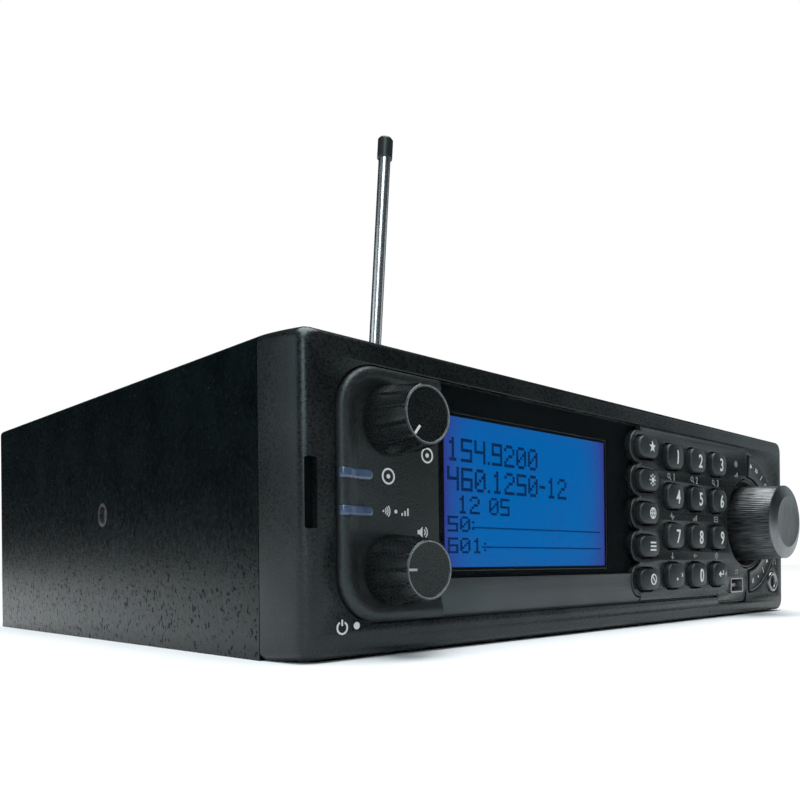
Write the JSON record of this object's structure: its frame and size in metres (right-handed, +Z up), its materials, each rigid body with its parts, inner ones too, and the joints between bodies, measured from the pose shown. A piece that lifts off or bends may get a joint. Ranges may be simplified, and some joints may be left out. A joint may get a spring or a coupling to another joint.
{
  "type": "desktop radio scanner",
  "caption": "Desktop radio scanner: flat metal case, lit display, keypad, two turning knobs, push scroll dial and a folding telescopic rear antenna.",
  "frame": {"origin": "centre of the case bottom, midway between the bezel's face and the back edge of the covers", "axes": "+Z up, the front faces -Y, +X to the right as the front is seen"},
  "size_m": [0.184, 0.1825, 0.2037],
  "materials": {
    "cover_paint": "black wrinkle paint",
    "rear_paint": "satin black paint",
    "bezel_plastic": "fine textured black moulding",
    "strip_plastic": "satin dark grey moulding",
    "lens_clear": "clear glossy acrylic",
    "light_pipe": "translucent pale blue",
    "lcd_blue": "blue backlit liquid crystal cell",
    "tin_plate": "tin plated sheet",
    "circuit_board": "green solder mask",
    "mat_rubber": "silicone sheet",
    "control_body": "plain stamped steel",
    "jack_metal": "nickel plated",
    "jack_plastic": "black moulding",
    "speaker_metal": "black enamel",
    "screw_steel": "blackened steel",
    "nut_steel": "zinc plated",
    "knob_plastic": "fine textured black moulding",
    "shaft_metal": "turned steel",
    "rotor_brass": "stamped",
    "dial_metal": "knurled silver",
    "key_rubber": "satin black keys",
    "antenna_chrome": "polished chrome",
    "antenna_nickel": "satin nickel",
    "tip_plastic": "black moulding"
  },
  "bodies": {
    "case": {"top_cover": "cover_paint", "bottom_cover": "cover_paint", "rear_panel": "rear_paint", "front_bezel": "bezel_plastic", "knob_panel": "bezel_plastic", "display_lens": "lens_clear", "trim_strip": "strip_plastic", "keypad_panel": "bezel_plastic", "light_bars": "light_pipe", "lcd_glass": "lcd_blue", "lcd_frame": "tin_plate", "front_board": "circuit_board", "key_mat": "mat_rubber", "volume_pot": "control_body", "squelch_pot": "control_body", "scroll_encoder": "control_body", "usb_port": "control_body", "headphone_jack": "jack_metal", "main_board": "circuit_board", "tuner_shield": "tin_plate", "speaker": "speaker_metal", "antenna_socket": "control_body", "remote_port": "control_body", "power_jack": "jack_plastic", "rear_jacks": "jack_plastic", "case_screws": "screw_steel", "bracket_nuts": "nut_steel"},
    "volume": {"volume_knob": "knob_plastic", "volume_shaft": "shaft_metal"},
    "squelch": {"squelch_knob": "knob_plastic", "squelch_shaft": "shaft_metal"},
    "encoder_rotor": {"encoder_rotor": "rotor_brass"},
    "scroll_dial": {"scroll_shaft": "shaft_metal", "scroll_dial": "dial_metal"},
    "key_1": {"key_1": "key_rubber"},
    "key_2": {"key_2": "key_rubber"},
    "key_3": {"key_3": "key_rubber"},
    "key_4": {"key_4": "key_rubber"},
    "key_5": {"key_5": "key_rubber"},
    "key_6": {"key_6": "key_rubber"},
    "key_7": {"key_7": "key_rubber"},
    "key_8": {"key_8": "key_rubber"},
    "key_9": {"key_9": "key_rubber"},
    "key_point": {"key_point": "key_rubber"},
    "key_0": {"key_0": "key_rubber"},
    "key_enter": {"key_enter": "key_rubber"},
    "priority_key": {"priority_key": "key_rubber"},
    "weather_key": {"weather_key": "key_rubber"},
    "location_key": {"location_key": "key_rubber"},
    "menu_key": {"menu_key": "key_rubber"},
    "lockout_key": {"lockout_key": "key_rubber"},
    "scan_key": {"scan_key": "key_rubber"},
    "hold_key": {"hold_key": "key_rubber"},
    "antenna_collar": {"antenna_collar": "antenna_nickel"},
    "antenna_plug": {"antenna_plug": "antenna_nickel"},
    "antenna_base": {"antenna_hinge": "antenna_nickel", "antenna_tube": "antenna_chrome"},
    "antenna_middle": {"antenna_middle": "antenna_chrome"},
    "antenna_rod": {"antenna_rod": "antenna_chrome", "antenna_tip": "tip_plastic"}
  },
  "joints": [
    {"name": "volume_turn", "type": "hinge", "parent": "case", "child": "volume", "pos_m": [-0.0734, -0.0725, 0.0149], "axis": [0, 1, 0], "range_deg": [-50, 230]},
    {"name": "squelch_turn", "type": "hinge", "parent": "case", "child": "squelch", "pos_m": [-0.0734, -0.0725, 0.0406], "axis": [0, 1, 0], "range_deg": [0, 280]},
    {"name": "dial_turn", "type": "hinge", "parent": "case", "child": "encoder_rotor", "pos_m": [0.0644, -0.0725, 0.02725], "axis": [0, 1, 0], "continuous": true},
    {"name": "dial_push", "type": "slide", "parent": "encoder_rotor", "child": "scroll_dial", "axis": [0, 1, 0], "range_m": [0, 0.0008], "stiffness_N_per_m": 3000, "springref_m": -0.0003},
    {"name": "key_1_press", "type": "slide", "parent": "case", "child": "key_1", "axis": [0, 1, 0], "range_m": [0, 0.001], "stiffness_N_per_m": 800, "springref_m": -0.0003},
    {"name": "key_2_press", "type": "slide", "parent": "case", "child": "key_2", "axis": [0, 1, 0], "range_m": [0, 0.001], "stiffness_N_per_m": 800, "springref_m": -0.0003},
    {"name": "key_3_press", "type": "slide", "parent": "case", "child": "key_3", "axis": [0, 1, 0], "range_m": [0, 0.001], "stiffness_N_per_m": 800, "springref_m": -0.0003},
    {"name": "key_4_press", "type": "slide", "parent": "case", "child": "key_4", "axis": [0, 1, 0], "range_m": [0, 0.001], "stiffness_N_per_m": 800, "springref_m": -0.0003},
    {"name": "key_5_press", "type": "slide", "parent": "case", "child": "key_5", "axis": [0, 1, 0], "range_m": [0, 0.001], "stiffness_N_per_m": 800, "springref_m": -0.0003},
    {"name": "key_6_press", "type": "slide", "parent": "case", "child": "key_6", "axis": [0, 1, 0], "range_m": [0, 0.001], "stiffness_N_per_m": 800, "springref_m": -0.0003},
    {"name": "key_7_press", "type": "slide", "parent": "case", "child": "key_7", "axis": [0, 1, 0], "range_m": [0, 0.001], "stiffness_N_per_m": 800, "springref_m": -0.0003},
    {"name": "key_8_press", "type": "slide", "parent": "case", "child": "key_8", "axis": [0, 1, 0], "range_m": [0, 0.001], "stiffness_N_per_m": 800, "springref_m": -0.0003},
    {"name": "key_9_press", "type": "slide", "parent": "case", "child": "key_9", "axis": [0, 1, 0], "range_m": [0, 0.001], "stiffness_N_per_m": 800, "springref_m": -0.0003},
    {"name": "key_point_press", "type": "slide", "parent": "case", "child": "key_point", "axis": [0, 1, 0], "range_m": [0, 0.001], "stiffness_N_per_m": 800, "springref_m": -0.0003},
    {"name": "key_0_press", "type": "slide", "parent": "case", "child": "key_0", "axis": [0, 1, 0], "range_m": [0, 0.001], "stiffness_N_per_m": 800, "springref_m": -0.0003},
    {"name": "key_enter_press", "type": "slide", "parent": "case", "child": "key_enter", "axis": [0, 1, 0], "range_m": [0, 0.001], "stiffness_N_per_m": 800, "springref_m": -0.0003},
    {"name": "priority_key_press", "type": "slide", "parent": "case", "child": "priority_key", "axis": [0, 1, 0], "range_m": [0, 0.001], "stiffness_N_per_m": 800, "springref_m": -0.0003},
    {"name": "weather_key_press", "type": "slide", "parent": "case", "child": "weather_key", "axis": [0, 1, 0], "range_m": [0, 0.001], "stiffness_N_per_m": 800, "springref_m": -0.0003},
    {"name": "location_key_press", "type": "slide", "parent": "case", "child": "location_key", "axis": [0, 1, 0], "range_m": [0, 0.001], "stiffness_N_per_m": 800, "springref_m": -0.0003},
    {"name": "menu_key_press", "type": "slide", "parent": "case", "child": "menu_key", "axis": [0, 1, 0], "range_m": [0, 0.001], "stiffness_N_per_m": 800, "springref_m": -0.0003},
    {"name": "lockout_key_press", "type": "slide", "parent": "case", "child": "lockout_key", "axis": [0, 1, 0], "range_m": [0, 0.001], "stiffness_N_per_m": 800, "springref_m": -0.0003},
    {"name": "scan_key_press", "type": "slide", "parent": "case", "child": "scan_key", "axis": [0, 1, 0], "range_m": [0, 0.001], "stiffness_N_per_m": 800, "springref_m": -0.0003},
    {"name": "hold_key_press", "type": "slide", "parent": "case", "child": "hold_key", "axis": [0, 1, 0], "range_m": [0, 0.001], "stiffness_N_per_m": 800, "springref_m": -0.0003},
    {"name": "collar_turn", "type": "hinge", "parent": "case", "child": "antenna_collar", "pos_m": [0.0506, 0.0725, 0.0273], "axis": [0, 1, 0], "range_deg": [0, 90]},
    {"name": "antenna_swivel", "type": "hinge", "parent": "case", "child": "antenna_plug", "pos_m": [0.0506, 0.0725, 0.0273], "axis": [0, 1, 0], "continuous": true},
    {"name": "antenna_tilt", "type": "hinge", "parent": "antenna_plug", "child": "antenna_base", "pos_m": [0.0506, 0.093, 0.0273], "axis": [-0.997, 0, 0.0776], "range_deg": [0, 90]},
    {"name": "middle_slide", "type": "slide", "parent": "antenna_base", "child": "antenna_middle", "axis": [0.0776, 0, 0.997], "range_m": [0, 0.125]},
    {"name": "rod_slide", "type": "slide", "parent": "antenna_middle", "child": "antenna_rod", "axis": [0.0776, 0, 0.997], "range_m": [0, 0.125]}
  ]
}
